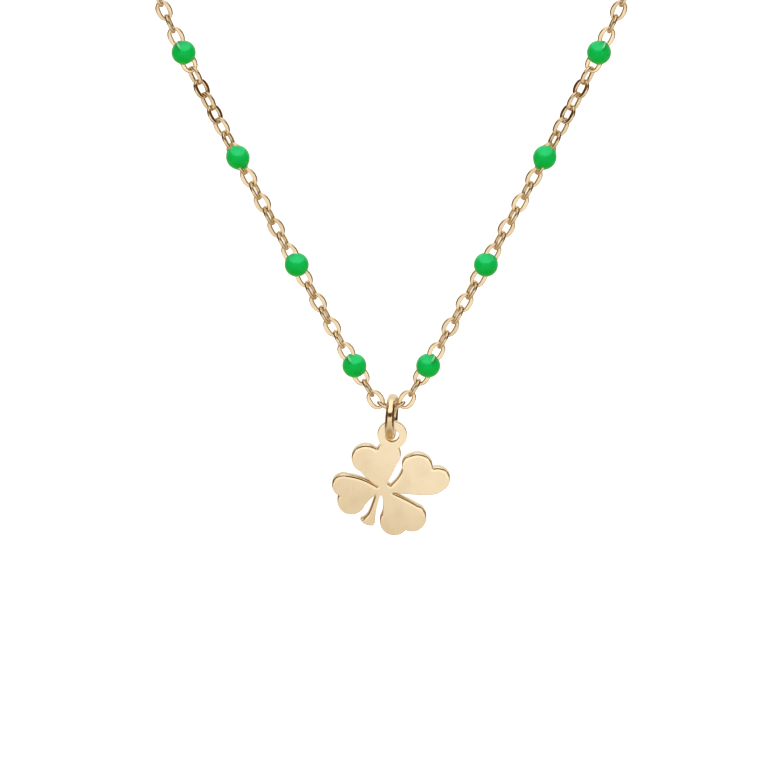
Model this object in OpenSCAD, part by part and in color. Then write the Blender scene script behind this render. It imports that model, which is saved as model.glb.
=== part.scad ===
// Clover necklace: a fine cable chain with enamel beads, and a flat clover charm
// on a jump ring. Millimetres, +Z up. It keeps the form it has when worn.
// The origin is the nape, where the clasp lies. The charm faces -Y.

/* [Chain] */
// length of one oval link
link_l = 1.78; // [1.2:0.02:4]
// width of one oval link
link_w = 1.36; // [0.9:0.02:3]
// thickness of a link across its flat faces
link_t = 0.26; // [0.2:0.02:0.8]
// how wide a link's wire is along its sides
side_wire = 0.36; // [0.2:0.01:0.8]
// how wide a link's wire is at its ends
end_wire = 0.22; // [0.15:0.01:0.6]
// space between two links where they hook
link_gap = 0.125; // [0.1:0.005:0.3]
// real links on each side of the middle one
front_links = 76; // [34:1:100]
// links on each side, up to the end ring
side_links = 168; // [120:2:220]

/* [Beads] */
// diameter of an enamel bead
bead_d = 1.98; // [1.4:0.02:4]
// reach of a drawn-out bead's points, from its middle
bead_tip = 1.14; // [1:0.02:2]
// links from one bead to the next on the hidden stretch
bead_step = 8.3; // [5:0.1:20]
// beads on each side
side_beads = 20; // [4:1:24]

/* [Jump ring] */
// outer diameter of the jump ring
ring_d = 3.87; // [3:0.01:6]
// width of the ring's wire, seen from its edge
ring_wire_w = 0.76; // [0.4:0.01:1.2]
// thickness of the ring's wire, inside to outside
ring_wire_t = 0.62; // [0.4:0.01:1.2]
// how far the ring is turned about the upright
ring_turn = 5.5; // [0:0.5:20]

/* [Clover] */
// thickness of the leaves and the stem
leaf_t = 0.8; // [0.6:0.05:2]
// thickness of the eyelet
eyelet_t = 0.5; // [0.3:0.05:1]
// outer radius of the eyelet
eyelet_r = 1.24; // [0.9:0.01:2]
// radius of the eyelet's hole
hole_r = 0.57; // [0.5:0.01:1]

/* [Clasp] */
// diameter of the clasp's ring, through the middle of its tube
clasp_d = 3.8; // [3:0.1:8]
// diameter of the clasp's tube
clasp_tube = 1.0; // [0.6:0.05:2]
// diameter of the end ring, through the middle of its wire
end_ring_d = 3.0; // [2:0.1:6]
// wire of the end ring and of the clasp's eye
fine_wire = 0.4; // [0.3:0.02:0.8]

/* [Hidden] */
$fn = 64;
gold = [0.86, 0.70, 0.42];
green = [0.10, 0.72, 0.30];

// The chain's run. Both sides are the same, mirrored about X = 0.
// Columns: link number, its step's angle from the upright in degrees.
SLOPE = [
    [2, 32], [3, 31], [5, 28.8], [8, 29.3], [16, 28.8], [25, 28.5], [29, 27.4], [33, 25.3],
    [38, 26], [46, 38], [56, 54], [70, 66], [90, 73], [120, 79], [150, 85], [168, 90]
];
// Columns: link number, turn of an even link about the chain in degrees. 0 lies flat.
TWIST = [
    [1, 91.1], [2, 91.4], [3, 90.5], [5, 87.5], [8, 82], [10, 81], [18, 84], [21, 80.5], [22, 78],
    [23, 75.5], [24, 59], [25, 64.5], [26, 53], [27, 56.5], [28, 33], [29, 19], [30, 8], [31, 16],
    [32, 7], [33, 14], [34, 7], [42, 0], [168, 0]
];
// Columns: where on the chain, in links; 1 when the bead is drawn out to points.
FRONT_BEADS = [[3.85, 0], [12.05, 0], [20.6, 1], [28.8, 0]];

pitch = link_l - 2 * end_wire - link_gap;
// the first link beside the middle one, and the middle link's own sizes
first_u = 1.303;
first_z = 0.513;
first_tilt = 32.8;
mid_reach = 1.176;
mid_w = 1.2;
mid_t = 0.22;
mid_z = -0.112;
mid_bow = 1.714;

// half of the loop laid flat: the way round the neck, and the height
run_u = [for (i = 0, s = 0; i <= side_links;
    s = s + (i == 0 ? first_u : pitch * sin(lookup(i + 1, SLOPE))), i = i + 1) s];
run_z = [for (i = 0, s = mid_z; i <= side_links;
    s = i == 0 ? first_z : s + pitch * cos(lookup(i + 1, SLOPE)), i = i + 1) s];

// nape hardware: middles along X of the clasp, its eye and the end ring
end_x = 1.1;
clasp_x = -1.4;
eye_r = 0.62;
last_x = end_x + end_ring_d / 2 - fine_wire / 2 - 0.1 - end_wire + link_l / 2;
left_links = side_links - 2;
eye_x = link_l / 2 - end_wire - 0.1 + eye_r - fine_wire / 2 - last_x - 2 * pitch;

neck_r = (run_u[side_links] + last_x) / PI;
neck_y = -neck_r;
drop = run_z[side_links];
function deg(u) = u / neck_r * 180 / PI;
function at(list, i) = let (k = floor(i), f = i - k) f == 0 ? list[k] : list[k] * (1 - f) + list[k + 1] * f;
function place(u, z) = [neck_r * sin(deg(u)), neck_y - neck_r * cos(deg(u)), z - drop];
function run(i) = place(at(run_u, i), at(run_z, i));
function unit(v) = v / norm(v);
function away(i) = let (a = deg(at(run_u, i))) [sin(a), -cos(a), 0];
function first_aim(a) = [sin(first_tilt) * cos(a), sin(first_tilt) * sin(a), cos(first_tilt)];
function aim(i) = i <= 1 ? first_aim(deg(first_u))
    : unit(run(min(i + 1, side_links)) - run(i - 1));

// a frame on the chain: length along local X, width along local Y
function frame_on(i, turn) = let (
    t = aim(i),
    out = unit(away(i) - t * (away(i) * t)),
    side = cross(out, t),
    w = out * sin(turn) - side * cos(turn),
    n = cross(t, w),
    p = run(i)
) [[t[0], w[0], n[0], p[0]], [t[1], w[1], n[1], p[1]], [t[2], w[2], n[2], p[2]], [0, 0, 0, 1]];
function turn_of(k) = lookup(k, TWIST) + (k % 2 == 1 ? 90 : 0);

// where the ring and the clover hang, from the foot of the loop
pendant = [0, neck_y - neck_r, -drop];
ring_x = 0.05;
ring_z = -1.017;
clover_x = 0.075;
clover_z = -2.575;
clover_front = -0.25;

bead_at = concat([for (b = FRONT_BEADS) b[0]],
    [for (j = [1:side_beads - 4]) FRONT_BEADS[3][0] + j * bead_step]);
cut_r = bead_d / 2 + 0.1;

module stadium(l, w) {
    square([l - w, w], center = true);
    for (s = [-1, 1]) translate([s * (l - w) / 2, 0]) circle(d = w);
}

// a link's opening has flat ends, so the next link's wire seats square in it
module opening(l, w, r) {
    square([l - 2 * r, w], center = true);
    square([l, w - 2 * r], center = true);
    for (x = [-1, 1]) for (y = [-1, 1])
        translate([x * (l / 2 - r), y * (w / 2 - r)]) circle(r = r);
}

module oval(l, w, side, end) {
    difference() {
        stadium(l, w);
        opening(l - 2 * end, w - 2 * side, 0.11);
    }
}

module link() {
    linear_extrude(link_t, center = true) oval(link_l, link_w, side_wire, end_wire);
}

// a link beside a bead is cut back where it enters the enamel
module front_side() {
    for (k = [1:front_links]) {
        near = [for (b = bead_at) if (abs(b - k) < 1.75) b];
        pointed = len([for (b = FRONT_BEADS) if (b[1] == 1 && abs(b[0] - k) < 1.75) b]) > 0;
        hidden = len([for (b = near) if (abs(b - k) < 0.35) b]) > 0;
        if (!hidden && len(near) == 0) multmatrix(frame_on(k, turn_of(k))) link();
        if (!hidden && len(near) > 0) difference() {
            multmatrix(frame_on(k, turn_of(k))) link();
            for (b = near) translate(run(b)) sphere(r = pointed ? bead_tip + 0.08 : cut_r);
        }
    }
}

// the middle link is bowed under the ring
module middle_link() {
    translate(pendant + [0, 0, mid_z]) intersection() {
        translate([0, 0, mid_bow]) rotate([90, 0, 0])
            linear_extrude(3, center = true) difference() {
                circle(r = mid_bow + mid_t / 2);
                circle(r = mid_bow - mid_t / 2);
            }
        translate([0, 0, -0.6]) linear_extrude(1.6)
            oval(2 * mid_reach, mid_w, side_wire - 0.03, end_wire - 0.02);
    }
}

module chain_front() color(gold) {
    middle_link();
    front_side();
    mirror([1, 0, 0]) front_side();
}

// the tube that stands for the links behind the neck, swept through eight-sided rings
tube_r = 0.5;
tube_sides = 8;
function tube_run(last, short) = let (
    first = front_links + (link_l / 2 + 0.12) / pitch,
    stop = last + short / pitch,
    n = 36
) [for (j = [0:n]) first + (stop - first) * j / n];
function past(i) = i <= side_links ? run(i) : run(side_links) + (i - side_links) * pitch * [-1, 0, 0];
function past_frame(i) = let (
    t = i < side_links ? aim(i) : [-1, 0, 0],
    out = unit(away(min(i, side_links)) - t * (away(min(i, side_links)) * t))
) [past(i), out, cross(t, out)];

module tube(stops) {
    rings = [for (i = stops) past_frame(i)];
    n = len(rings);
    m = tube_sides;
    points = [for (f = rings) for (s = [0:m - 1]) let (a = 360 * s / m)
        f[0] + tube_r * (f[1] * cos(a) + f[2] * sin(a))];
    walls = [for (j = [0:n - 2]) for (s = [0:m - 1]) let (b = (s + 1) % m)
        [j * m + s, j * m + b, (j + 1) * m + b, (j + 1) * m + s]];
    caps = [[for (s = [m - 1:-1:0]) s], [for (s = [0:m - 1]) (n - 1) * m + s]];
    polyhedron(points, concat(walls, caps));
}

module chain_back() color(gold) {
    tube(tube_run(side_links, 0.05));
    mirror([1, 0, 0]) tube(tube_run(left_links, 0.02));
}

// enamel beads: the length of a bead's frame lies along the chain
module bead(i, pointed) {
    multmatrix(frame_on(i, 0)) rotate([0, 90, 0]) {
        sphere(d = bead_d);
        if (pointed > 0) for (s = [0, 180]) rotate([s, 0, 0])
            translate([0, 0, 0.6]) cylinder(r1 = 0.76, r2 = 0.2, h = bead_tip - 0.6);
    }
}

// a bead on the hidden stretch is drilled clear of the tube
module drilled_bead(i) {
    multmatrix(frame_on(i, 0)) rotate([0, 90, 0]) difference() {
        sphere(d = bead_d);
        cylinder(r = tube_r + 0.12, h = 3, center = true);
    }
}

module front_bead(j) color(green) bead(FRONT_BEADS[j - 1][0], FRONT_BEADS[j - 1][1]);

module beads_back() color(green) {
    for (b = bead_at) if (b > FRONT_BEADS[3][0] + 1) {
        if (b < front_links + 0.3) bead(b, 0);
        if (b > front_links + 0.3) drilled_bead(b);
    }
}

module jump_ring() color(gold) translate(pendant + [ring_x, 0, ring_z])
    rotate([0, 0, -ring_turn]) rotate([0, 90, 0]) rotate_extrude()
        translate([ring_d / 2 - ring_wire_t / 2, 0]) rotate([0, 0, 90])
            stadium(ring_wire_w, ring_wire_t);

// The clover, front view, from the middle of the eyelet's hole.
// Each leaf: two lobes [x, z, r], where each side leaves its lobe [angle, sag]
// and where each side ends in the hub [x, z].
HUB = [-0.66, -4.75, 0.6];
LEAVES = [
    [[-2.2, -2.05, 1.2], [-0.33, -1.72, 1.06], [245, 0.1], [-40, 0.02],
        [-1.14, -4.55], [-0.4, -4.2]],
    [[2.12, -2.88, 1.27], [3.79, -3.88, 1.05], [176, -0.17], [-80, 0.05],
        [-0.15, -4.42], [0.25, -5.06]],
    [[1.66, -7.26, 1.2], [0.19, -7.56, 1.23], [62, 0.04], [152, -0.1],
        [0.25, -5.16], [-0.86, -5.3]],
    [[-3.41, -5.77, 1.18], [-4.08, -4.4, 0.95], [-25, -0.04], [85, 0.24],
        [-1.38, -5.2], [-1.16, -4.62]]
];
LOBE_A = 0;
LOBE_B = 1;
SIDE_A = 2;
SIDE_B = 3;
FOOT_A = 4;
FOOT_B = 5;
// fuller shoulder of the right-hand leaf [x, z, r]
SHOULDER = [1.74, -2.66, 0.94];
// lower edge of the right-hand leaf, towards the hub [x, z, sag to the next]
BELLY = [[4.5, -4.6, 0.18], [3.1, -5.24, 0.05], [0.25, -5.06, 0]];
// stem: down its left side, along its foot and up its right side [x, z, sag to the next]
STEM = [[-1.4, -5.2, 0.02], [-1.93, -6.75, 0.11], [-2.68, -7.42, -0.18], [-1.6, -7.93, -0.03],
    [-1.45, -7.6, 0.08], [-0.98, -5.2, 0]];

// a side starts just inside its lobe's edge
function lobe_point(lobe, a) = let (r = lobe[2] - 0.03) [lobe[0] + r * cos(a), lobe[1] + r * sin(a)];
// points on an arc from p to q that bulges by sag to the left of the way
function arc(p, q, sag, n = 10) = let (d = q - p, left = [-d[1], d[0]] / norm(d))
    [for (j = [0:n]) let (f = j / n) p + d * f + left * sag * 4 * f * (1 - f)];
function leaf_body(v) = let (
    a = lobe_point(v[LOBE_A], v[SIDE_A][0]),
    b = lobe_point(v[LOBE_B], v[SIDE_B][0]),
    ca = [v[LOBE_A][0], v[LOBE_A][1]],
    cb = [v[LOBE_B][0], v[LOBE_B][1]],
    hub = [HUB[0], HUB[1]],
    root = hub + 0.3 * unit(hub - (ca + cb) / 2)
) concat(arc(v[FOOT_A], a, v[SIDE_A][1]), [ca, cb], arc(b, v[FOOT_B], v[SIDE_B][1]), [root]);

module leaf(v) {
    for (l = [v[LOBE_A], v[LOBE_B]]) translate([l[0], l[1]]) circle(r = l[2]);
    polygon(leaf_body(v));
}

// the arcs that join the points of a table, each with the sag in its row
function arcs(rows) = [for (i = [0:len(rows) - 2])
    for (p = arc([rows[i][0], rows[i][1]], [rows[i + 1][0], rows[i + 1][1]], rows[i][2], 8)) p];
// the same points without a repeated one where two arcs meet
function joined(points) = [for (i = [0:len(points) - 1])
    if (i == 0 || norm(points[i] - points[i - 1]) > 0.001) points[i]];

module belly() polygon(concat(joined(arcs(BELLY)), [[2, -4], [3.8, -3.9]]));

module stem() polygon(concat(joined(arcs(STEM)), [[-1.2, -4.9]]));

module leaves() {
    for (v = LEAVES) leaf(v);
    translate([SHOULDER[0], SHOULDER[1]]) circle(r = SHOULDER[2]);
    translate([HUB[0], HUB[1]]) circle(r = HUB[2]);
    belly();
    stem();
}

module clover() color(gold) translate(pendant + [clover_x, clover_front, clover_z])
    rotate([90, 0, 0]) mirror([0, 0, 1]) difference() {
        union() {
            difference() {
                linear_extrude(leaf_t) leaves();
                translate([0, 0, eyelet_t]) cylinder(r = eyelet_r + 0.04, h = leaf_t);
            }
            cylinder(r = eyelet_r, h = eyelet_t);
        }
        translate([0, 0, -1]) cylinder(r = hole_r, h = leaf_t + 2);
    }

// nape hardware: the clasp is one plain piece with its eye, and hooks the end ring
module clasp() color(gold) {
    translate([clasp_x, 0, 0]) rotate([90, 0, 0]) rotate_extrude()
        translate([clasp_d / 2, 0]) circle(d = clasp_tube);
    translate([eye_x, 0, 0]) rotate_extrude()
        translate([eye_r, 0]) circle(d = fine_wire);
}

module end_ring() color(gold) translate([end_x, 0, 0]) rotate_extrude()
    translate([end_ring_d / 2, 0]) circle(d = fine_wire);

clover();
jump_ring();
chain_front();
chain_back();
mirror([1, 0, 0]) front_bead(1);  // bead_left_1
mirror([1, 0, 0]) front_bead(2);  // bead_left_2
mirror([1, 0, 0]) front_bead(3);  // bead_left_3
mirror([1, 0, 0]) front_bead(4);  // bead_left_4
front_bead(1);  // bead_right_1
front_bead(2);  // bead_right_2
front_bead(3);  // bead_right_3
front_bead(4);  // bead_right_4
mirror([1, 0, 0]) beads_back();  // beads_back_left
beads_back();  // beads_back_right
clasp();
end_ring();
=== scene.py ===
import math

import bmesh
import bpy
import numpy as np
from bpy.props import FloatProperty, FloatVectorProperty, IntProperty, PointerProperty
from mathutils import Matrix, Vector
from mathutils.geometry import delaunay_2d_cdt


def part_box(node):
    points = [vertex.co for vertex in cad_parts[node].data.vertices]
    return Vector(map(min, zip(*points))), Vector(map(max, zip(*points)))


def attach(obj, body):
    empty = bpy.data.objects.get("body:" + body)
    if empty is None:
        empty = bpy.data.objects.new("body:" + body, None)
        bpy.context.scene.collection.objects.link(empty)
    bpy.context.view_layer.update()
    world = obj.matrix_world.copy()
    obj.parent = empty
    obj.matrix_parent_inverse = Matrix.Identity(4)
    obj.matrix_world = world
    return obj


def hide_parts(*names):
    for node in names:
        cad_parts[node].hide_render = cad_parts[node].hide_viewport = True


bl_info = {
    "name": "Clover Necklace",
    "version": (1, 0, 0),
    "blender": (4, 5, 0),
    "location": "View3D > Sidebar > Necklace",
    "description": "A fine cable chain with enamel beads and a clover charm on a jump ring",
    "category": "Object",
}

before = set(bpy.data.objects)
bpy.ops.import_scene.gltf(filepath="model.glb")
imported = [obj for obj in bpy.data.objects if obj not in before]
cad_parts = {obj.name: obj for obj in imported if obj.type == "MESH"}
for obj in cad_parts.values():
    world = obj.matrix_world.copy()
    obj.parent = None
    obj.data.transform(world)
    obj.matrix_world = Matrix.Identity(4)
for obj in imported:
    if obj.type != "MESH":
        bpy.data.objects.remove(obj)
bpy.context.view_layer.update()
MM = 0.001
RIGHT, LEFT = 1, -1

# The chain's run, as in the solids. Columns: link number, its angle from the upright.
SLOPE = [
    (2, 32), (3, 31), (5, 28.8), (8, 29.3), (16, 28.8), (25, 28.5), (29, 27.4), (33, 25.3),
    (38, 26), (46, 38), (56, 54), (70, 66), (90, 73), (120, 79), (150, 85), (168, 90),
]
# Columns: link number, turn of an even link about the chain. 0 lies flat.
TWIST = [
    (1, 91.1), (2, 91.4), (3, 90.5), (5, 87.5), (8, 82), (10, 81), (18, 84), (21, 80.5), (22, 78),
    (23, 75.5), (24, 59), (25, 64.5), (26, 53), (27, 56.5), (28, 33), (29, 19), (30, 8), (31, 16),
    (32, 7), (33, 14), (34, 7), (42, 0), (168, 0),
]
# Columns: place on the chain in links, drawn out to points, folded where it meets its link.
FRONT_BEADS = [(3.85, 0, 1), (12.05, 0, 0), (20.6, 1, 0), (28.8, 0, 1)]
SIDE_LINKS = 168
LEFT_LINKS = 166
FRONT_LINKS = 76
BEAD_STEP = 8.3
BACK_BEADS = 16
# the first link beside the middle one, and the middle link's own sizes
FIRST_WAY = 1.303 * MM
FIRST_HEIGHT = 0.513 * MM
FIRST_TILT = math.radians(32.8)
MIDDLE_REACH = 1.176 * MM
MIDDLE_WIDTH = 1.2 * MM
MIDDLE_THICK = 0.24 * MM
MIDDLE_HEIGHT = -0.112 * MM
MIDDLE_BOW = 1.714 * MM
# the jump ring's middle and the middle of the clover's hole, from the chain's lowest point
RING_PLACE = Vector((0.05, 0, -1.017)) * MM
HOLE_PLACE = Vector((0.075, 0, -2.575)) * MM
CLASP_MIDDLE = -1.4 * MM
END_RING_MIDDLE = 1.1 * MM
EYE_RADIUS = 0.62 * MM
# steps round each corner of a link's wire, and how square a link's outer and inner walls are
LINK_STEPS = 3
OUTER_FULLNESS = 2.12
INNER_FULLNESS = 2.45
# how warm the gold of a link is, from and to, of the middle link, and how much painted shade
# darkens and warms it at rims
LINK_WARMTH = (0.04, 0.36)
MIDDLE_WARMTH = 0.2
RIM_SHADE = 0.4
# a link whose middle is nearer than this to a bead's, in links, is inside the bead
INSIDE_BEAD = 0.35
# how far a link's wires run beside its middle, and where they enter a bead, in diameters
WIRE_ASIDE = 0.48 * MM
ENTRY_DEPTH = 0.42
# how far round a bead its points and the enamel on its wires spread, and its narrower waist
TIP_SPREAD = 0.5
CREEP_SPREAD = 0.2
WAIST = 0.03 * MM
# rows and columns in the mesh of a folded bead, a plain one and one behind the neck
FOLDED_MESH = (100, 140)
PLAIN_MESH = (48, 64)
BACK_MESH = (20, 28)
# the jump ring's lean to one side, and how far its middle lies from the solid's
RING_ROLL = math.radians(2)
RING_SHIFT = -0.02 * MM
# how much painted shade darkens and warms the ring's gold at mid height, and how much less at its
# top and its foot
RING_MID_SHADE = 0.8
RING_TOP_FALL = 0.65
RING_FOOT_FALL = 0.55
# how much painted shade darkens and warms the clover's gold where it is strongest, and over how
# many millimetres it grows
CLOVER_SHADE = 0.45
CLOVER_REACH = 8
# the way in which the painted shade grows stronger, towards the lower left
SHADE_WAY = (-0.6, 0, -0.8)
# where the picture's middle lies from the chain's lowest point, across and up
AIM_ACROSS = -0.61 * MM
AIM_UP = 1.79 * MM


class ChainSizes(bpy.types.PropertyGroup):
    link_length: FloatProperty(name="Link length", description="Length of one oval link",
        default=1.78 * MM, unit="LENGTH")
    link_width: FloatProperty(name="Link width", description="Width of one oval link",
        default=1.41 * MM, unit="LENGTH")
    link_thick: FloatProperty(name="Link thickness", description="Across a link's flat faces",
        default=0.30 * MM, unit="LENGTH")
    side_wire: FloatProperty(name="Side wire", description="Width of the wire along a link's side",
        default=0.36 * MM, unit="LENGTH")
    end_wire: FloatProperty(name="End wire", description="Width of the wire at a link's end",
        default=0.22 * MM, unit="LENGTH")
    link_gap: FloatProperty(name="Link gap", description="Space where two links hook",
        default=0.125 * MM, unit="LENGTH")
    fuller: FloatProperty(name="Fuller wire", description="How much of the gap a wire takes up",
        default=0.05 * MM, unit="LENGTH")
    edge_round: FloatProperty(name="Edge rounding", description="How far the rounding comes in",
        default=0.10 * MM, unit="LENGTH")
    around: IntProperty(name="Steps around", description="Sections round one link",
        default=40, min=16, max=96)


class CharmSizes(bpy.types.PropertyGroup):
    ring_outer: FloatProperty(name="Ring diameter", description="Outer diameter of the jump ring",
        default=3.87 * MM, unit="LENGTH")
    wire_width: FloatProperty(name="Wire width", description="Width of the ring's wire, edge on",
        default=0.76 * MM, unit="LENGTH")
    wire_thick: FloatProperty(name="Wire thickness", description="Inside to outside of the ring",
        default=0.62 * MM, unit="LENGTH")
    ring_turn: FloatProperty(name="Ring turn", description="Turn of the ring about the upright",
        default=math.radians(6.5), unit="ROTATION")
    dome_top: FloatProperty(name="Upper rim", description="Width of the domed rim on upper edges",
        default=0.36 * MM, unit="LENGTH")
    dome_foot: FloatProperty(name="Lower rim", description="Width of the domed rim on lower edges",
        default=0.08 * MM, unit="LENGTH")
    back_round: FloatProperty(name="Back rim", description="Rounding of the clover's back rims",
        default=0.06 * MM, unit="LENGTH")
    clasp_size: FloatProperty(name="Clasp diameter", description="Through the middle of its tube",
        default=3.8 * MM, unit="LENGTH")
    clasp_tube: FloatProperty(name="Clasp tube", description="Diameter of the clasp's tube",
        default=1.0 * MM, unit="LENGTH")
    end_ring_size: FloatProperty(name="End ring diameter", description="Through its wire's middle",
        default=3.0 * MM, unit="LENGTH")
    fine_wire: FloatProperty(name="Fine wire", description="Wire of the end ring and the eye",
        default=0.4 * MM, unit="LENGTH")


class BeadSizes(bpy.types.PropertyGroup):
    size: FloatProperty(name="Bead diameter", description="Diameter of an enamel bead",
        default=2.02 * MM, unit="LENGTH")
    tip: FloatProperty(name="Tip reach", description="From a drawn-out bead's middle to its point",
        default=1.14 * MM, unit="LENGTH")
    creep: FloatProperty(name="Creep", description="How far the enamel climbs the wires",
        default=0.07 * MM, unit="LENGTH")
    fold: FloatProperty(name="Fold height", description="Height of the fold in a bead's enamel",
        default=0.05 * MM, unit="LENGTH")


class Finishes(bpy.types.PropertyGroup):
    gold: FloatVectorProperty(name="Gold", description="Colour of the polished plate",
        subtype="COLOR", default=(0.94, 0.775, 0.53), min=0, max=1)
    # the warm gold also gives painted shade: on link rims, on the ring by height and on the clover
    # towards its lower left
    gold_tone_and_shade: FloatVectorProperty(name="Warm gold", description="Colour of its warmer patches",
        subtype="COLOR", default=(0.62, 0.455, 0.25), min=0, max=1)
    enamel: FloatVectorProperty(name="Enamel", description="Colour of the beads",
        subtype="COLOR", default=(0.006, 0.575, 0.090), min=0, max=1)
    # painted highlight on the enamel where it faces the light above
    enamel_painted_highlight: FloatVectorProperty(name="Upper enamel", description="Where it faces the light",
        subtype="COLOR", default=(0.036, 0.86, 0.25), min=0, max=1)
    # painted shade on the enamel low down and beside a fold, and random darker mottle
    enamel_shade_and_mottle: FloatVectorProperty(name="Deep enamel", description="Where the enamel lies thick",
        subtype="COLOR", default=(0.001, 0.35, 0.028), min=0, max=1)
    # painted glint along the crest of a fold
    enamel_glint: FloatVectorProperty(name="Thin enamel", description="Where it thins over a fold",
        subtype="COLOR", default=(0.40, 1.0, 0.60), min=0, max=1)


class StageSizes(bpy.types.PropertyGroup):
    distance: FloatProperty(name="Camera distance", description="From the camera to the charm",
        default=3.0, unit="LENGTH")
    elevation: FloatProperty(name="Camera elevation", description="Above the horizon",
        default=math.radians(18), unit="ROTATION")
    frame_width: FloatProperty(name="Frame width", description="Width that the picture takes in",
        default=64.25 * MM, unit="LENGTH")
    floor_height: FloatProperty(name="Floor height", description="Height of the floor",
        default=-0.3, unit="LENGTH")
    floor_size: FloatProperty(name="Floor radius", description="Radius of the floor",
        default=9.0, unit="LENGTH")
    daylight: FloatProperty(name="Daylight", description="Strength of the soft light all round",
        default=1.0, min=0)


def rotation(angle, axis):
    """A 3 by 3 turn about one of the axes x, y, z, as numpy."""
    c, s = math.cos(angle), math.sin(angle)
    i, j = {"x": (1, 2), "y": (2, 0), "z": (0, 1)}[axis]
    turn = np.eye(3)
    turn[i, i] = turn[j, j] = c
    turn[i, j], turn[j, i] = -s, s
    return turn


def smooth_step(values, low, high):
    """0 below low and 1 above high, with a smooth step between."""
    share = np.clip((values - low) / (high - low), 0, 1)
    return share * share * (3 - 2 * share)


class ChainRun:
    """The way the chain takes: a V that hangs on a round neck, the same on both sides."""

    def __init__(self, sizes):
        self.step = sizes.link_length - 2 * sizes.end_wire - sizes.link_gap
        low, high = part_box("jump_ring")
        self.foot = np.array((low + high) / 2 - RING_PLACE)
        self.neck = -self.foot[1] / 2
        numbers, angles = np.array(SLOPE).T
        way, height = [0, FIRST_WAY], [MIDDLE_HEIGHT, FIRST_HEIGHT]
        for link in range(2, SIDE_LINKS + 1):
            slope = math.radians(np.interp(link, numbers, angles))
            way.append(way[-1] + self.step * math.sin(slope))
            height.append(height[-1] + self.step * math.cos(slope))
        self.way, self.height = way, height

    def place(self, link):
        numbers = range(SIDE_LINKS + 1)
        turn = np.interp(link, numbers, self.way) / self.neck
        rise = np.interp(link, numbers, self.height)
        reach = self.neck * np.array([math.sin(turn), -math.cos(turn), 0])
        return reach + [0, -self.neck, rise + self.foot[2]]

    def aim(self, link):
        if link <= 1:
            turn = FIRST_WAY / self.neck
            flat = math.sin(FIRST_TILT)
            return np.array([flat * math.cos(turn), flat * math.sin(turn), math.cos(FIRST_TILT)])
        ahead = self.place(min(link + 1, SIDE_LINKS)) - self.place(link - 1)
        return ahead / np.linalg.norm(ahead)

    def axes(self, link, turn=0.0, side=RIGHT):
        """A link's own axes as columns (along, across, face) and its middle."""
        along = self.aim(link)
        angle = np.interp(link, range(SIDE_LINKS + 1), self.way) / self.neck
        away = np.array([math.sin(angle), -math.cos(angle), 0])
        out = away - along * (away @ along)
        out /= np.linalg.norm(out)
        level = np.cross(out, along)
        across = out * math.sin(turn) - level * math.cos(turn)
        columns = np.column_stack([along, across, np.cross(along, across)])
        middle = self.place(link)
        if side == LEFT:
            columns, middle = columns * [[-1], [1], [1]], middle * [-1, 1, 1]
        return columns, middle

    def link_axes(self, link, side):
        """The axes of a real link, which is turned a quarter from its neighbours."""
        turn = np.interp(link, *np.array(TWIST).T) + 90 * (link % 2)
        return self.axes(link, math.radians(turn), side)


def oval(half_length, half_width, fullness, turns):
    """Points round an oval. A fullness of 2 is an ellipse, and more is squarer."""
    c, s = np.cos(turns), np.sin(turns)
    return np.column_stack([half_length * np.sign(c) * abs(c) ** (2 / fullness),
        half_width * np.sign(s) * abs(s) ** (2 / fullness)])


def wire_profile(half_width, half_thick, round_in, round_down, steps):
    """A closed section with corners rounded as quarter ellipses, as (across, up) offsets."""
    points = []
    for sx, sy, start in ((1, 1, 0), (-1, 1, 90), (-1, -1, 180), (1, -1, 270)):
        for step in range(steps + 1):
            angle = math.radians(start + 90 * step / steps)
            points.append((sx * (half_width - round_in) + round_in * math.cos(angle),
                sy * (half_thick - round_down) + round_down * math.sin(angle)))
    return np.array(points)


def closed_tube_faces(sections, sides, first=0):
    """Quads between neighbouring sections of a tube that closes on itself."""
    i, j = np.meshgrid(np.arange(sections), np.arange(sides), indexing="ij")
    n, k = (i + 1) % sections, (j + 1) % sides
    quads = np.stack([i * sides + j, n * sides + j, n * sides + k, i * sides + k], axis=-1)
    return quads.reshape(-1, 4) + first


def oval_link(length, width, thick, side_wire, end_wire, rounding, around, steps):
    """A flat oval link with bowed walls: its points (along, across, up), its quads, and how
    near each point is to the rims of its wire."""
    turns = (np.arange(around) + 0.5) * 2 * math.pi / around
    outer = oval(length / 2, width / 2, OUTER_FULLNESS, turns)
    inner = oval(length / 2 - end_wire, width / 2 - side_wire, INNER_FULLNESS, turns)
    rows, rims = [], []
    for m, r in zip((outer + inner) / 2, outer - inner):
        half = np.linalg.norm(r) / 2
        round_in = min(rounding, half * 0.8)
        section = wire_profile(half, thick / 2, round_in, thick * 0.47, steps)
        rows.append(np.column_stack([m + section[:, :1] * r / (2 * half), section[:, 1]]))
        rims.append(smooth_step(abs(section[:, 0]) / half, 0.5, 1))
    quads = closed_tube_faces(around, len(rows[0]))[:, ::-1]
    return np.vstack(rows), quads, np.concatenate(rims)


def new_piece(name, points, faces, body, replaced, material, tones=None):
    """Makes a mesh piece that rides on a body and replaces solids. tones are painted on it."""
    mesh = bpy.data.meshes.new(name)
    mesh.from_pydata(np.asarray(points).tolist(), [], np.asarray(faces).tolist()
        if isinstance(faces, np.ndarray) else faces)
    mesh.validate()
    mesh.shade_smooth()
    for label, values in (tones or {}).items():
        layer = mesh.attributes.new(label, "FLOAT", "POINT")
        layer.data.foreach_set("value", np.asarray(values, np.float32))
    piece = bpy.data.objects.new(name, mesh)
    bpy.context.scene.collection.objects.link(piece)
    mesh.materials.append(material)
    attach(piece, body)
    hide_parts(*replaced)
    return piece


def crisp(piece, angle=38):
    """Keeps a piece's flat faces flat beside its rounded edges."""
    piece.data.set_sharp_from_angle(angle=math.radians(angle))
    weighted = piece.modifiers.new("flat_faces", "WEIGHTED_NORMAL")
    weighted.keep_sharp = True
    weighted.weight = 100


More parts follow.
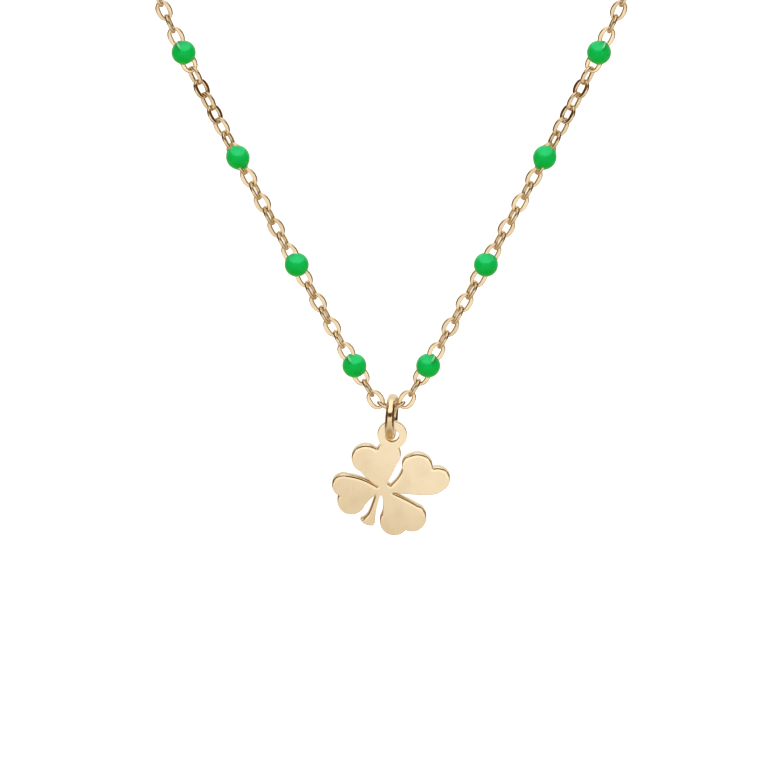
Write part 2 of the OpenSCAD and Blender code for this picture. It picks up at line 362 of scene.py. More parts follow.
class Wire:
    """A node's output that shader maths is written with."""

    def __init__(self, shader, socket):
        self.shader, self.socket = shader, socket

    def maths(self, operation, other=None, swapped=False):
        pair = (self,) if other is None else (other, self) if swapped else (self, other)
        return self.shader.node("ShaderNodeMath", {"operation": operation}, dict(enumerate(pair)))

    def __add__(self, other):
        return self.maths("ADD", other)

    def __sub__(self, other):
        return self.maths("SUBTRACT", other)

    def __mul__(self, other):
        return self.maths("MULTIPLY", other)

    def __truediv__(self, other):
        return self.maths("DIVIDE", other)

    def __rsub__(self, other):
        return self.maths("SUBTRACT", other, swapped=True)

    def __rtruediv__(self, other):
        return self.maths("DIVIDE", other, swapped=True)

    __radd__, __rmul__ = __add__, __mul__

    def above(self, low, high):
        """0 below low and 1 above high, with a smooth step between."""
        settings = {"interpolation_type": "SMOOTHSTEP"}
        return self.shader.node("ShaderNodeMapRange", settings, {0: self, 1: low, 2: high})

    def within(self, low, high, soft):
        """1 from low to high, with smooth steps as wide as soft."""
        rise = self.above(low - soft / 2, low + soft / 2)
        return rise * (1 - self.above(high - soft / 2, high + soft / 2))


class Shader:
    """Writes the nodes of a material or of the world."""

    def __init__(self, owner):
        owner.use_nodes = True
        self.tree = owner.node_tree
        self.tree.nodes.clear()

    def node(self, kind, settings=None, values=None, output=0):
        made = self.tree.nodes.new(kind)
        for name, value in (settings or {}).items():
            setattr(made, name, value)
        for key, value in (values or {}).items():
            if isinstance(value, Wire):
                self.tree.links.new(value.socket, made.inputs[key])
            else:
                made.inputs[key].default_value = value
        return Wire(self, made.outputs[output]) if made.outputs else made

    def blend(self, factor, first, second):
        """A mix of two colours."""
        first, second = (c if isinstance(c, Wire) else (*c, 1) for c in (first, second))
        settings = {"data_type": "RGBA", "clamp_factor": True}
        return self.node("ShaderNodeMix", settings, {0: factor, 6: first, 7: second}, output=2)

    def stretched(self, place, scale):
        """Coordinates drawn out by a scale for each axis, in millimetres."""
        settings = {"operation": "MULTIPLY"}
        return self.node("ShaderNodeVectorMath", settings, {0: place, 1: [s / MM for s in scale]})

    def noise(self, place, size, detail=2.0, roughness=0.5):
        values = {"Vector": place, "Scale": size, "Detail": detail, "Roughness": roughness}
        return self.node("ShaderNodeTexNoise", None, values)

    def painted(self, name):
        """A tone that was painted on the mesh."""
        return self.node("ShaderNodeAttribute", {"attribute_name": name}, None, "Fac")

    def surface(self, shader):
        self.node("ShaderNodeOutputMaterial", None, {"Surface": shader})


def gold_finish(name, colours, satin, hairline, patch):
    """Polished gold plate: soft patches of tone, fine hairlines and a trace of orange peel."""
    material = bpy.data.materials.new(name)
    shader = Shader(material)
    place = shader.node("ShaderNodeTexCoord", None, None, "Object")
    spot = shader.stretched(place, (1, 1, 1))
    cloud = shader.noise(spot, patch, 3.0)
    peel = shader.noise(spot, 6.0, 2.0)
    lines = shader.noise(shader.stretched(place, (14, 14, 1.2)), 1.0, 3.0, 0.6)
    # the painted attribute holds random tone for each link and painted shade on link rims, the ring
    # and the clover
    warm_tone_and_shade = cloud.above(0.42, 0.72) * 0.2 + shader.painted("tone_and_shade") + lines.above(0.5, 0.8) * hairline
    colour = shader.blend(warm_tone_and_shade, colours.gold, colours.gold_tone_and_shade)
    gloss = satin + cloud.above(0.35, 0.7) * 0.04 + lines * (hairline * 0.25)
    bump = shader.node("ShaderNodeBump", None, {
        "Strength": 0.2, "Distance": 0.01 * MM, "Height": peel * 0.4 + lines * hairline})
    shader.surface(shader.node("ShaderNodeBsdfPrincipled", None, {
        "Base Color": colour, "Roughness": gloss, "Metallic": 1.0, "Normal": bump}))


def enamel_finish(name, colours):
    """Glossy green enamel: a painted highlight where it faces up, painted shade low down and beside
    a fold, a painted glint on a fold, and random darker mottle.
    """
    material = bpy.data.materials.new(name)
    shader = Shader(material)
    place = shader.node("ShaderNodeTexCoord", None, None, "Object")
    spot = shader.stretched(place, (1, 1, 1))
    cloud = shader.noise(spot, 1.1, 2.0)
    fine = shader.noise(spot, 9.0, 2.0)
    # random darker mottle plus the painted shade
    painted_shade = cloud.above(0.4, 0.75) * 0.2 + shader.painted("painted_shade")
    # painted highlight where the bead faces up
    base = shader.blend(shader.painted("high"), colours.enamel, colours.enamel_painted_highlight)
    base = shader.blend(painted_shade, base, colours.enamel_shade_and_mottle)
    # painted glint along a fold
    base = shader.blend(shader.painted("fold"), base, colours.enamel_glint)
    bump = shader.node("ShaderNodeBump", None, {
        "Strength": 0.12, "Distance": 0.01 * MM, "Height": cloud * 0.8 + fine * 0.2})
    shader.surface(shader.node("ShaderNodeBsdfPrincipled", None, {
        "Base Color": base, "Roughness": 0.12 + fine * 0.08, "Specular IOR Level": 0.15,
        "Specular Tint": (0.25, 1.0, 0.6, 1), "Normal": bump}))


def chain_piece(name, run, sizes, links, replaced, seed, around, steps, middle=None):
    """One mesh of real links. links holds (number, side), and middle a link's own points."""
    shape, quads, rims = oval_link(sizes.link_length, sizes.link_width, sizes.link_thick,
        sizes.side_wire + sizes.fuller, sizes.end_wire + sizes.fuller, sizes.edge_round,
        around, steps)
    draw = np.random.default_rng(seed)
    points, faces, tones = [], [], []
    count = 0
    for number, side in links:
        axes, place = run.link_axes(number, side)
        points.append(shape @ axes.T + place)
        faces.append((quads if side == RIGHT else quads[:, ::-1]) + count)
        # random tone for each link, and painted shade on its rims
        tones.append(draw.uniform(*LINK_WARMTH) + RIM_SHADE * rims)
        count += len(shape)
    if middle is not None:
        points.append(middle)
        faces.append(quads + count)
        # painted shade on the middle link's rims as well
        tones.append(MIDDLE_WARMTH + RIM_SHADE * rims)
    piece = new_piece(name, np.vstack(points), np.vstack(faces), "necklace", replaced,
        bpy.data.materials.get("gold_of_the_links"), {"tone_and_shade": np.concatenate(tones)})
    crisp(piece)


def middle_link(run, sizes):
    """The link under the jump ring, bowed up at both ends."""
    shape, _, _ = oval_link(2 * MIDDLE_REACH, MIDDLE_WIDTH, MIDDLE_THICK,
        sizes.side_wire, sizes.end_wire + 0.01 * MM, sizes.edge_round * 0.85,
        sizes.around, LINK_STEPS)
    along, across, up = shape.T
    lean = along / MIDDLE_BOW
    bowed = np.column_stack([along - up * lean, across,
        MIDDLE_BOW - (MIDDLE_BOW - up) * np.sqrt(1 - lean ** 2)])
    return bowed + run.foot + [0, 0, MIDDLE_HEIGHT]


def sphere_ways(rows, columns):
    """Directions round a sphere whose poles are on its first axis, the two poles last."""
    polar = np.linspace(0, math.pi, rows + 1)[1:-1]
    turn = np.arange(columns) * 2 * math.pi / columns
    p, t = (a.ravel() for a in np.meshgrid(polar, turn, indexing="ij"))
    ways = np.column_stack([np.cos(p), np.sin(p) * np.cos(t), np.sin(p) * np.sin(t)])
    return np.vstack([ways, [1, 0, 0], [-1, 0, 0]])


def sphere_faces(rows, columns, side):
    """Quads and the two caps of a sphere, turned the right way for its side."""
    faces = []
    for i in range(rows - 2):
        for j in range(columns):
            k = (j + 1) % columns
            faces.append((i * columns + j, (i + 1) * columns + j,
                (i + 1) * columns + k, i * columns + k))
    north, south = (rows - 1) * columns, (rows - 1) * columns + 1
    last = (rows - 2) * columns
    for j in range(columns):
        k = (j + 1) % columns
        faces.append((north, j, k))
        faces.append((south, last + k, last + j))
    return faces if side == RIGHT else [f[::-1] for f in faces]


# A fold in the enamel, in the picture's own directions: outwards, up, and towards the camera,
# in bead radii. It has a nib at the top edge, a crest below with a painted glint, and a painted
# shade spot.
FOLD_NIB = (0.43, 0.90, 0.10)
FOLD_TOP = (0.51, 0.79, 0.34)
FOLD_FOOT = (0.32, 0.33, 0.89)
FOLD_SHADE_SPOT = (0.36, 0.81, 0.46)
# how wide, in bead radii, its raised ridge, nib, painted glint, painted shade, shade spot and side
# without painted highlight are
RIDGE_WIDTH = 0.09
NIB_WIDTH = 0.13
GLINT_WIDTH = 0.075
SHADE_WIDTH = 0.19
SHADE_SPOT_WIDTH = 0.09
UNLIT_SIDE_WIDTH = 0.6
# the way that the painted highlight on a bead faces, and how wide it is
LIGHT_WAY = (0, -0.47, 0.88)
LIGHT_SPREAD = math.radians(38)


def picture_way(way, side, elevation):
    """Turns a picture's direction into the frame's."""
    out, up, near = way
    c, s = math.cos(elevation), math.sin(elevation)
    world = np.array((out * side, up * s - near * c, up * c + near * s))
    return world / np.linalg.norm(world)


def painted_highlight_and_shade(world, height):
    """How much painted highlight and painted shade the enamel gets, for each direction."""
    # painted highlight: a patch on the upper front and a lighter cap on top
    facing = np.arccos(np.clip(world @ np.array(LIGHT_WAY), -1, 1))
    patch = 1 - smooth_step(facing, LIGHT_SPREAD - 0.10, LIGHT_SPREAD + 0.10)
    cap = smooth_step(world[:, 2], 0.2, 0.9)
    high = np.clip(patch * 0.65 + cap * 0.45, 0, 1)
    # painted shade, darker towards the bottom of the bead
    painted_shade = (1 - smooth_step(height, -0.85, 0.2)) * 0.9
    return high, painted_shade


def bead_piece(name, run, sizes, place, drawn_out, folded, side, elevation, rows, columns):
    """An enamel bead on the front of the chain, with enamel drawn up the wires that enter it."""
    axes, middle = run.axes(place, 0.0, side)
    ways = sphere_ways(rows, columns)
    world = ways @ axes.T
    radius = np.full(len(ways), sizes.size / 2)
    if drawn_out:
        pole = np.arccos(np.clip(abs(ways[:, 0]), 0, 1))
        radius += (sizes.tip - sizes.size / 2) * np.exp(-(pole / TIP_SPREAD) ** 2)
        radius -= WAIST * np.sin(pole) ** 2
    for number in (math.floor(place), math.ceil(place)):
        if abs(number - place) < INSIDE_BEAD:
            continue
        link_axes, link_middle = run.link_axes(number, side)
        for hand in (-1, 1):
            wire = link_middle + link_axes[:, 1] * hand * WIRE_ASIDE - middle
            ahead = link_axes[:, 0] * math.copysign(1, wire @ link_axes[:, 0])
            entry = wire - ahead * (wire @ ahead) + ahead * sizes.size * ENTRY_DEPTH
            entry /= np.linalg.norm(entry)
            spread = np.arccos(np.clip(world @ entry, -1, 1))
            radius += sizes.creep * np.exp(-(spread / CREEP_SPREAD) ** 2)
    picture_up = picture_way((0, 1, 0), side, elevation)
    # painted highlight and painted shade on the bead
    high, painted_shade = painted_highlight_and_shade(world, world @ picture_up)
    fold = np.zeros(len(ways))
    if folded:
        nib, top, foot, shade_spot = (picture_way(w, side, elevation)
            for w in (FOLD_NIB, FOLD_TOP, FOLD_FOOT, FOLD_SHADE_SPOT))
        length = math.acos(top @ foot)
        ahead = foot - top * (foot @ top)
        ahead /= np.linalg.norm(ahead)
        share = np.clip(np.arctan2(world @ ahead, world @ top) / length, 0, 1)
        nearest = np.outer(np.cos(share * length), top) + np.outer(np.sin(share * length), ahead)
        gap = np.linalg.norm(world - nearest, axis=1)
        outside = smooth_step((world @ np.cross(top, ahead)) * side, -0.02, 0.03)
        ends = np.sin(np.pi * np.clip(share * 0.9 + 0.08, 0, 1)) ** 0.5
        beside_nib = np.linalg.norm(world - nib, axis=1)
        beside_shade_spot = np.linalg.norm(world - shade_spot, axis=1)
        radius += sizes.fold * np.exp(-(gap / RIDGE_WIDTH) ** 2) * ends
        radius += sizes.fold * 1.3 * np.exp(-(beside_nib / NIB_WIDTH) ** 2)
        # painted glint along the fold's crest
        fold = np.exp(-(gap / GLINT_WIDTH) ** 6) * ends
        # painted shade on the fold's outer side, and a spot of painted shade by its top
        shade = np.exp(-(gap / SHADE_WIDTH) ** 2) * outside
        painted_shade = np.maximum(painted_shade, shade + np.exp(-(beside_shade_spot / SHADE_SPOT_WIDTH) ** 2))
        painted_shade = np.clip(painted_shade, 0, 1.1)
        # the painted highlight is taken away on the fold's outer side
        high = high * (1 - np.exp(-(gap / UNLIT_SIDE_WIDTH) ** 4) * outside)
    points = world * radius[:, None] + middle
    piece = new_piece(f"enamel_{name}", points, sphere_faces(rows, columns, side), "necklace",
        [f"bead_{name}"], bpy.data.materials.get("green_enamel"),
        {"fold": fold, "high": high, "painted_shade": painted_shade})
    piece.visible_glossy = False


def ring_points(middle, turn, radius, profile, steps):
    """A closed ring: its points and quads. turn takes its own axis z to the frame's."""
    rows = []
    for step in range(steps):
        angle = 2 * math.pi * step / steps
        out = np.array([math.cos(angle), math.sin(angle), 0])
        rows.append((radius + profile[:, :1]) * out + profile[:, 1:] * [0, 0, 1])
    return np.vstack(rows) @ turn.T + middle, closed_tube_faces(steps, len(profile))


def round_profile(radius, sides=20):
    angles = np.arange(sides) * 2 * math.pi / sides
    return radius * np.column_stack([np.cos(angles), np.sin(angles)])


# The slope of a domed rim. Columns: distance in from the edge as a share of its width,
# slope of the surface in degrees.
DOME_SLOPE = [(0, 52), (0.05, 34), (0.1, 29), (0.3, 23), (0.42, 18), (0.5, 12), (0.85, 6), (1, 0)]
# where the mesh has rows of points, as shares of the rim's width in from the edge, how far
# apart the points lie along a row and in the grid between, and how clear of the edge the
# grid stays, in millimetres
LAYER_SHARES = (0.05, 0.12, 0.24, 0.36, 0.46, 0.6, 0.85, 1.0, 1.1)
LAYER_STEP = 0.14
GRID_STEP = 0.4
GRID_CLEAR = 0.3
# the rim is at its narrowest by the hole, out to the first reach, and full past the second
HOLE_REACH = (1.3, 1.9)
HOLE_SHARE = 0.35


def dome_fall(share):
    """Depth below the flat face at a share of the rim's width, 0 at the edge and 1 inside."""
    where = np.linspace(0, 1, 201)
    slope = np.tan(np.radians(np.interp(where, *np.array(DOME_SLOPE).T)))
    from_edge = np.concatenate([[0], np.cumsum((slope[1:] + slope[:-1]) / 2 * np.diff(where))])
    return from_edge[-1] - np.interp(share, where, from_edge)


class Outline:
    """The outline of a flat face, as directed pieces with the face on their left."""

    def __init__(self, starts, ends):
        self.starts, self.ends = np.array(starts), np.array(ends)
        self.along = self.ends - self.starts
        self.lengths = np.linalg.norm(self.along, axis=1)
        left = np.column_stack([-self.along[:, 1], self.along[:, 0]])
        self.inward = left / self.lengths[:, None]

    def nearest(self, points):
        """Distance to the outline, and the upward part of the way out to it."""
        gaps, rises = [], []
        for group in np.array_split(points, max(1, len(points) // 400)):
            offset = group[:, None] - self.starts
            share = np.clip((offset * self.along).sum(2) / self.lengths ** 2, 0, 1)
            out = self.starts + share[:, :, None] * self.along - group[:, None]
            distance = np.linalg.norm(out, axis=2)
            best = distance.argmin(1)
            gaps.append(distance[np.arange(len(group)), best])
            rises.append(-self.inward[best, 1])
        return np.concatenate(gaps), np.concatenate(rises)

    def holds(self, points):
        """Whether each point lies inside, by counting crossings."""
        low, high = self.starts, self.ends
        x, y = points[:, 0][:, None], points[:, 1][:, None]
        crosses = (low[:, 1] > y) != (high[:, 1] > y)
        rise = np.where(high[:, 1] == low[:, 1], 1, high[:, 1] - low[:, 1])
        where = low[:, 0] + (y - low[:, 1]) / rise * (high[:, 0] - low[:, 0])
        return (crosses & (x < where)).sum(1) % 2 == 1


class NECKLACE_OT_finishes(bpy.types.Operator):
    """Makes the gold and the enamel"""
    bl_idname = "necklace.finishes"
    bl_label = "Finishes"

    def execute(self, context):
        colours = context.scene.necklace_finishes
        gold_finish("gold_of_the_links", colours, satin=0.14, hairline=0.10, patch=0.9)
        gold_finish("gold_of_the_clover", colours, satin=0.12, hairline=0.12, patch=0.35)
        gold_finish("gold_of_the_rings", colours, satin=0.11, hairline=0.08, patch=0.8)
        enamel_finish("green_enamel", colours)
        return {"FINISHED"}


class NECKLACE_OT_chain(bpy.types.Operator):
    """Makes every link of the chain, in front and behind the neck"""
    bl_idname = "necklace.chain"
    bl_label = "Chain links"

    def execute(self, context):
        sizes = context.scene.necklace_chain
        run = ChainRun(sizes)
        places = [b[0] for b in FRONT_BEADS]
        places += [places[-1] + n * BEAD_STEP for n in range(1, BACK_BEADS + 1)]

        def open_links(first, last, side):
            return [(n, side) for n in range(first, last + 1)
                if min(abs(n - p) for p in places) > INSIDE_BEAD]

        front = open_links(1, FRONT_LINKS, RIGHT) + open_links(1, FRONT_LINKS, LEFT)
        chain_piece("links_in_front", run, sizes, front, ["chain_front"], seed=11,
            around=sizes.around, steps=LINK_STEPS, middle=middle_link(run, sizes))
        back = open_links(FRONT_LINKS + 1, SIDE_LINKS, RIGHT)
        back += open_links(FRONT_LINKS + 1, LEFT_LINKS, LEFT)
        chain_piece("links_behind_neck", run, sizes, back, ["chain_back"], seed=12,
            around=sizes.around - 8, steps=LINK_STEPS - 1)
        return {"FINISHED"}


class NECKLACE_OT_beads(bpy.types.Operator):
    """Makes the enamel beads, those in front one by one"""
    bl_idname = "necklace.beads"
    bl_label = "Enamel beads"

    def execute(self, context):
        sizes = context.scene.necklace_beads
        run = ChainRun(context.scene.necklace_chain)
        elevation = context.scene.necklace_stage.elevation
        for side, label in ((LEFT, "left"), (RIGHT, "right")):
            for number, (place, drawn_out, folded) in enumerate(FRONT_BEADS, 1):
                rows, columns = FOLDED_MESH if folded else PLAIN_MESH
                bead_piece(f"{label}_{number}", run, sizes, place, drawn_out, folded, side,
                    elevation, rows, columns)
            self.back_beads(run, sizes, side, label)
        return {"FINISHED"}

    def back_beads(self, run, sizes, side, label):
        ways, loops = sphere_ways(*BACK_MESH), sphere_faces(*BACK_MESH, side)
        points, faces, painted_highlights, painted_shades = [], [], [], []
        for number in range(1, BACK_BEADS + 1):
            axes, middle = run.axes(FRONT_BEADS[-1][0] + number * BEAD_STEP, 0.0, side)
            world = ways @ axes.T
            count = len(points) * len(ways)
            points.append(world * sizes.size / 2 + middle)
            faces += [tuple(v + count for v in loop) for loop in loops]
            # painted highlight and painted shade on the beads behind the neck too
            high, painted_shade = painted_highlight_and_shade(world, world[:, 2])
            painted_highlights.append(high)
            painted_shades.append(painted_shade)
        piece = new_piece(f"enamel_behind_{label}", np.vstack(points), faces, "necklace",
            [f"beads_back_{label}"], bpy.data.materials.get("green_enamel"),
            {"high": np.concatenate(painted_highlights), "painted_shade": np.concatenate(painted_shades)})
        piece.visible_glossy = False


class NECKLACE_OT_jump_ring(bpy.types.Operator):
    """Makes the jump ring that the clover hangs from"""
    bl_idname = "necklace.jump_ring"
    bl_label = "Jump ring"

    def execute(self, context):
        sizes = context.scene.necklace_charm
        low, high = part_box("jump_ring")
        half_width, half_thick = sizes.wire_width / 2, sizes.wire_thick / 2
        round_in = half_thick * 0.96
        profile = wire_profile(half_thick, half_width, round_in, round_in, 6)
        turn = rotation(-sizes.ring_turn, "z") @ rotation(math.pi / 2 + RING_ROLL, "y")
        middle = np.array((low + high) / 2) + [RING_SHIFT, 0, 0]
        points, faces = ring_points(middle, turn,
            sizes.ring_outer / 2 - half_thick, profile, 96)
        height = (points[:, 2] - middle[2]) / (sizes.ring_outer / 2)
        # painted shade: darker, warmer gold at mid height, paler at the top and the foot
        tone_and_shade = RING_MID_SHADE - RING_TOP_FALL * smooth_step(height, 0.1, 0.5)
        tone_and_shade -= RING_FOOT_FALL * smooth_step(-height, 0.25, 0.6)
        new_piece("ring_for_the_clover", points, faces, "ring", ["jump_ring"],
            bpy.data.materials.get("gold_of_the_rings"),
            {"tone_and_shade": tone_and_shade})
        return {"FINISHED"}


class NECKLACE_OT_clover(bpy.types.Operator):
    """Makes the clover, with its front rims domed and its back rims rounded"""
    bl_idname = "necklace.clover"
    bl_label = "Clover charm"

    def execute(self, context):
        sizes = context.scene.necklace_charm
        hole = ChainRun(context.scene.necklace_chain).foot + np.array(HOLE_PLACE)
        made = bmesh.new()
        made.from_mesh(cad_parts["clover"].data)
        bmesh.ops.remove_doubles(made, verts=made.verts, dist=0.002 * MM)
        bmesh.ops.dissolve_limit(made, angle_limit=math.radians(0.8), verts=made.verts,
            edges=made.edges)
        front = min(v.co.y for v in made.verts)
        self.round_back(made, sizes, front)
        self.dome_front(made, sizes, front, hole)
        mesh = bpy.data.meshes.new("clover_charm")
        made.to_mesh(mesh)
        made.free()
        places = np.array([tuple(v.co) for v in mesh.vertices]) - hole
        # painted shade, growing towards the lower left of the clover
        away = places @ np.array(SHADE_WAY) / MM
        clover_shade = CLOVER_SHADE * smooth_step(away, 0, CLOVER_REACH)
        layer = mesh.attributes.new("tone_and_shade", "FLOAT", "POINT")
        layer.data.foreach_set("value", clover_shade.astype(np.float32))
        mesh.shade_smooth()
        piece = bpy.data.objects.new("clover_charm", mesh)
        context.scene.collection.objects.link(piece)
        mesh.materials.clear()
        mesh.materials.append(bpy.data.materials.get("gold_of_the_clover"))
        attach(piece, "clover")
        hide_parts("clover")
        crisp(piece)
        return {"FINISHED"}

    def round_back(self, made, sizes, front):
        rims = []
        for edge in made.edges:
            if len(edge.link_faces) == 2 and edge.calc_face_angle() > math.radians(60):
                depths = [v.co.y - front for v in edge.verts]
                if min(depths) > 0.01 * MM and max(depths) - min(depths) < 0.01 * MM:
                    rims.append(edge)
        if not rims:
            raise RuntimeError("the clover has no back rims to round")
        bmesh.ops.bevel(made, geom=rims, offset=sizes.back_round, offset_type="OFFSET",
            segments=2, profile=0.5, affect="EDGES", clamp_overlap=True)

    def dome_front(self, made, sizes, front, hole):
        faces = [f for f in made.faces
            if f.normal.y < -0.99 and max(v.co.y for v in f.verts) < front + 0.001 * MM]
        flat = set(faces)
        starts, ends = [], []
        for face in faces:
            for loop in face.loops:
                if sum(f in flat for f in loop.edge.link_faces) == 1:
                    starts.append(loop.vert)
                    ends.append(loop.link_loop_next.vert)
        if len(starts) < 50:
            raise RuntimeError("the clover's front outline wasn't found")
        rim = list(dict.fromkeys(starts))
        number = {vert: n for n, vert in enumerate(rim)}

        def flat_place(vert):
            return ((vert.co.x - hole[0]) / MM, (vert.co.z - hole[2]) / MM)

        outline = Outline([flat_place(v) for v in starts], [flat_place(v) for v in ends])
        edge_points = np.array([flat_place(v) for v in rim])
        inside = self.layer_points(outline, sizes)
        points = np.vstack([edge_points, inside])
        pairs = [(number[a], number[b]) for a, b in zip(starts, ends)]
        places, _, triangles, sources, _, _ = delaunay_2d_cdt(
            [Vector(p) for p in points], pairs, [], 0, 1e-5)
        places = np.array([tuple(p) for p in places])
        triangles = np.array([t for t in triangles if len(t) == 3])
        kept = outline.holds(places[triangles].mean(1))
        depths = self.depths(outline, places, sizes)
        bmesh.ops.delete(made, geom=faces, context="FACES_ONLY")
        verts = []
        for n, (place, depth) in enumerate(zip(places, depths)):
            source = [s for s in sources[n] if s < len(rim)]
            if source:
                rim[source[0]].co.y = front + depth * MM
                verts.append(rim[source[0]])
            else:
                spot = (place[0] * MM + hole[0], front + depth * MM, place[1] * MM + hole[2])
                verts.append(made.verts.new(spot))
        for triangle in triangles[kept]:
            made.faces.new([verts[n] for n in triangle])
        loose = [v for v in made.verts if not v.link_faces]
        bmesh.ops.delete(made, geom=loose, context="VERTS")

    def widths(self, rises, reach, sizes):
        """Width of the dome in millimetres: wide on upper edges, narrow below and at the hole."""
        top, foot = sizes.dome_top / MM, sizes.dome_foot / MM
        width = foot + (top - foot) * smooth_step(rises, -0.3, 0.45)
        return width * (HOLE_SHARE + (1 - HOLE_SHARE) * smooth_step(reach, *HOLE_REACH))

    def depths(self, outline, points, sizes):
        gaps, rises = outline.nearest(points)
        width = self.widths(rises, np.linalg.norm(points, axis=1), sizes)
        return dome_fall(np.clip(gaps / width, 0, 1)) * width

    def layer_points(self, outline, sizes):
        """Points at several distances in from the outline, and a coarse grid between them."""
        layers = []
        for start, along, length, inward in zip(outline.starts, outline.along, outline.lengths,
                outline.inward):
            reach = np.linalg.norm(start)
            width = float(self.widths(np.array([-inward[1]]), np.array([reach]), sizes)[0])
            steps = max(1, math.ceil(length / LAYER_STEP))
            for step in range(steps):
                spot = start + along * (step + 0.5) / steps
                for share in LAYER_SHARES:
                    layers.append((*(spot + inward * width * share), width * share))
        layers = np.array(layers)
        gaps, _ = outline.nearest(layers[:, :2])
        good = (gaps > layers[:, 2] * 0.93) & outline.holds(layers[:, :2])
        low, high = outline.starts.min(0), outline.starts.max(0)
        x, z = np.meshgrid(np.arange(low[0], high[0], GRID_STEP),
            np.arange(low[1], high[1], GRID_STEP))
        grid = np.column_stack([x.ravel(), z.ravel()])
        clear = (outline.nearest(grid)[0] > GRID_CLEAR) & outline.holds(grid)
        return np.vstack([layers[good][:, :2], grid[clear]])


class NECKLACE_OT_clasp(bpy.types.Operator):
    """Makes the clasp with its eye, and the end ring that it hooks"""
    bl_idname = "necklace.clasp"
    bl_label = "Clasp and end ring"

    def execute(self, context):
        sizes = context.scene.necklace_charm
        gold = bpy.data.materials.get("gold_of_the_rings")
        upright = rotation(math.pi / 2, "x")
        tube, faces = ring_points(np.array((CLASP_MIDDLE, 0, 0)), upright,
            sizes.clasp_size / 2, round_profile(sizes.clasp_tube / 2, 24), 72)
        low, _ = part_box("clasp")
        eye_middle = np.array((low.x + EYE_RADIUS + sizes.fine_wire / 2, 0, 0))
        eye, eye_faces = ring_points(eye_middle, np.eye(3), EYE_RADIUS,
            round_profile(sizes.fine_wire / 2, 14), 40)
        new_piece("clasp_with_eye", np.vstack([tube, eye]),
            np.vstack([faces, eye_faces + len(tube)]), "necklace", ["clasp"], gold)
        ring, faces = ring_points(np.array((END_RING_MIDDLE, 0, 0)), np.eye(3),
            sizes.end_ring_size / 2, round_profile(sizes.fine_wire / 2, 16), 64)
        new_piece("ring_at_chain_end", ring, faces, "necklace", ["end_ring"], gold)
        return {"FINISHED"}


# The light all round, each row laid over the ones before it. turn is the angle away from the
# front, rise the angle above the horizon, both in degrees.
# Columns: colour, turn from, turn to, rise from, rise to, softness of its edges.
LIGHT_CARDS = [
    ((1.00, 0.99, 0.97), -30, 72, -50, 20, 8),
    ((1.25, 1.23, 1.17), -30, 60, -6, 18, 8),
    ((0.60, 0.46, 0.29), -30, 220, -120, -46, 30),
    ((0.52, 0.43, 0.32), 128, 220, -50, -6, 10),
    ((0.88, 0.86, 0.82), 115, 220, -6, 100, 8),
    ((0.28, 0.17, 0.075), 58, 118, 38, 64, 8),
    ((1.30, 1.27, 1.20), -30, 58, 38, 100, 6),
    ((1.30, 1.27, 1.20), -30, 220, 64, 120, 8),
    ((0.34, 0.19, 0.085), 40, 66, -14, 17, 7),
    ((0.09, 0.033, 0.006), 62, 122, -28, 17, 7),
    ((0.25, 0.135, 0.055), 20, 60, 17, 37, 6),
    ((0.06, 0.022, 0.006), -30, 24, 16, 38, 5),
    ((0.06, 0.02, 0.003), 56, 112, 16, 38, 5),
    ((0.06, 0.02, 0.003), 50, 112, 7, 17, 5),
]

# the plain white that lies behind the necklace where the floor doesn't reach
BACKDROP = (1.0, 1.0, 1.0)


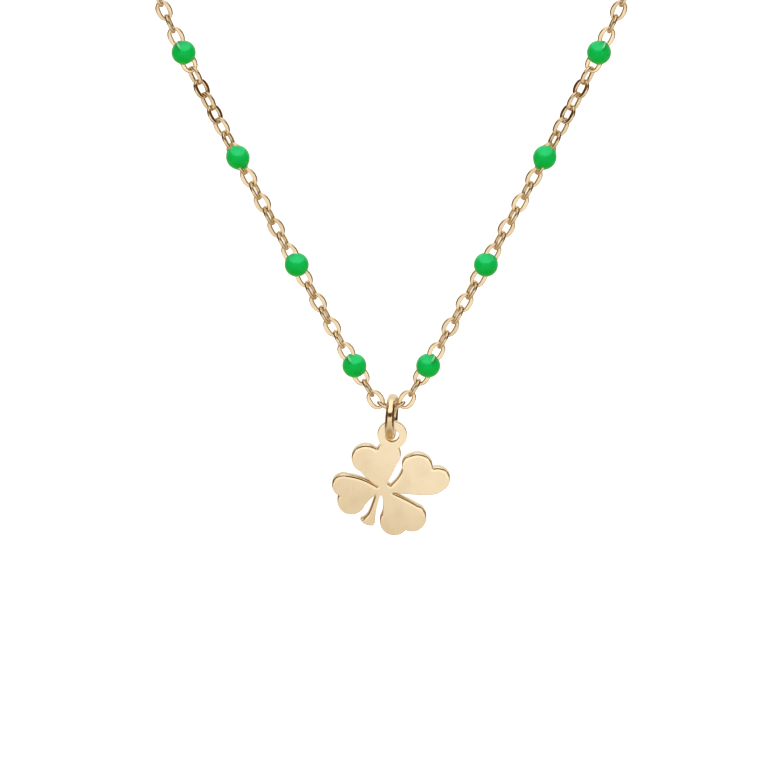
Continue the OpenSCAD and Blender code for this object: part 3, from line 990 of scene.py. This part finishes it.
class NECKLACE_OT_stage(bpy.types.Operator):
    """Makes the pale floor, the soft light and the camera"""
    bl_idname = "necklace.stage"
    bl_label = "Stage"

    def execute(self, context):
        sizes = context.scene.necklace_stage
        self.floor(context, sizes)
        self.light(context, sizes)
        self.camera(context, sizes)
        context.scene.view_settings.view_transform = "Standard"
        return {"FINISHED"}

    def floor(self, context, sizes):
        bpy.ops.mesh.primitive_circle_add(vertices=96, radius=sizes.floor_size,
            fill_type="NGON", location=(0, 0, sizes.floor_height))
        floor = context.object
        floor.name = "pale_floor"
        floor.visible_glossy = False
        material = bpy.data.materials.new("pale_floor")
        shader = Shader(material)
        shader.surface(shader.node("ShaderNodeBsdfPrincipled", None, {
            "Base Color": (0.9, 0.9, 0.9, 1), "Roughness": 1.0, "Specular IOR Level": 0.0,
            "Emission Color": (1, 1, 1, 1), "Emission Strength": 0.6}))
        floor.data.materials.append(material)

    def light(self, context, sizes):
        world = bpy.data.worlds.new("soft_studio")
        context.scene.world = world
        shader = Shader(world)
        way = shader.node("ShaderNodeTexCoord", None, None, "Generated")
        across, away, up = (shader.node("ShaderNodeSeparateXYZ", None, {0: way}, n)
            for n in range(3))
        degrees = 180 / math.pi
        turn = across.maths("ABSOLUTE").maths("ARCTAN2", 0 - away) * degrees
        rise = up.maths("ARCSINE") * degrees
        colour = (0.9, 0.88, 0.84)
        for shade, turn_from, turn_to, rise_from, rise_to, soft in LIGHT_CARDS:
            share = turn.within(turn_from, turn_to, soft) * rise.within(rise_from, rise_to, soft)
            colour = shader.blend(share, colour, shade)
        seen = shader.node("ShaderNodeLightPath")
        colour = shader.blend(seen, colour, BACKDROP)
        sky = shader.node("ShaderNodeBackground", None, {"Color": colour,
            "Strength": sizes.daylight})
        shader.node("ShaderNodeOutputWorld", None, {"Surface": sky})

    def camera(self, context, sizes):
        run = ChainRun(context.scene.necklace_chain)
        data = bpy.data.cameras.new("camera")
        camera = bpy.data.objects.new("camera", data)
        context.scene.collection.objects.link(camera)
        rise = sizes.elevation
        up = Vector((0, math.sin(rise), math.cos(rise)))
        back = Vector((0, -math.cos(rise), math.sin(rise)))
        target = Vector(run.foot) + Vector((AIM_ACROSS, 0, 0)) + up * AIM_UP
        camera.location = target + back * sizes.distance
        camera.rotation_euler = (-back).to_track_quat("-Z", "Y").to_euler()
        data.sensor_width = 36
        data.lens = data.sensor_width * sizes.distance / sizes.frame_width
        data.clip_start = 0.01
        data.clip_end = 50
        context.scene.camera = camera


STEPS = [NECKLACE_OT_finishes, NECKLACE_OT_chain, NECKLACE_OT_beads, NECKLACE_OT_jump_ring,
    NECKLACE_OT_clover, NECKLACE_OT_clasp, NECKLACE_OT_stage]


class NECKLACE_PT_panel(bpy.types.Panel):
    """Lists the sizes and the steps in the sidebar"""
    bl_idname = "NECKLACE_PT_panel"
    bl_label = "Clover necklace"
    bl_space_type = "VIEW_3D"
    bl_region_type = "UI"
    bl_category = "Necklace"

    def draw(self, context):
        for group in GROUPS:
            box = self.layout.box()
            owner = getattr(context.scene, "necklace_" + group)
            for name in owner.__annotations__:
                box.prop(owner, name)
        for step in STEPS:
            self.layout.operator(step.bl_idname)


GROUPS = {"chain": ChainSizes, "charm": CharmSizes, "beads": BeadSizes, "finishes": Finishes,
    "stage": StageSizes}
CLASSES = [*GROUPS.values(), *STEPS, NECKLACE_PT_panel]


def register():
    for cls in CLASSES:
        bpy.utils.register_class(cls)
    for name, group in GROUPS.items():
        setattr(bpy.types.Scene, "necklace_" + name, PointerProperty(type=group))


def unregister():
    for name in GROUPS:
        delattr(bpy.types.Scene, "necklace_" + name)
    for cls in reversed(CLASSES):
        bpy.utils.unregister_class(cls)


def main():
    register()
    bpy.ops.necklace.finishes()
    bpy.ops.necklace.chain()
    bpy.ops.necklace.beads()
    bpy.ops.necklace.jump_ring()
    bpy.ops.necklace.clover()
    bpy.ops.necklace.clasp()
    bpy.ops.necklace.stage()


if __name__ == "__main__":
    main()
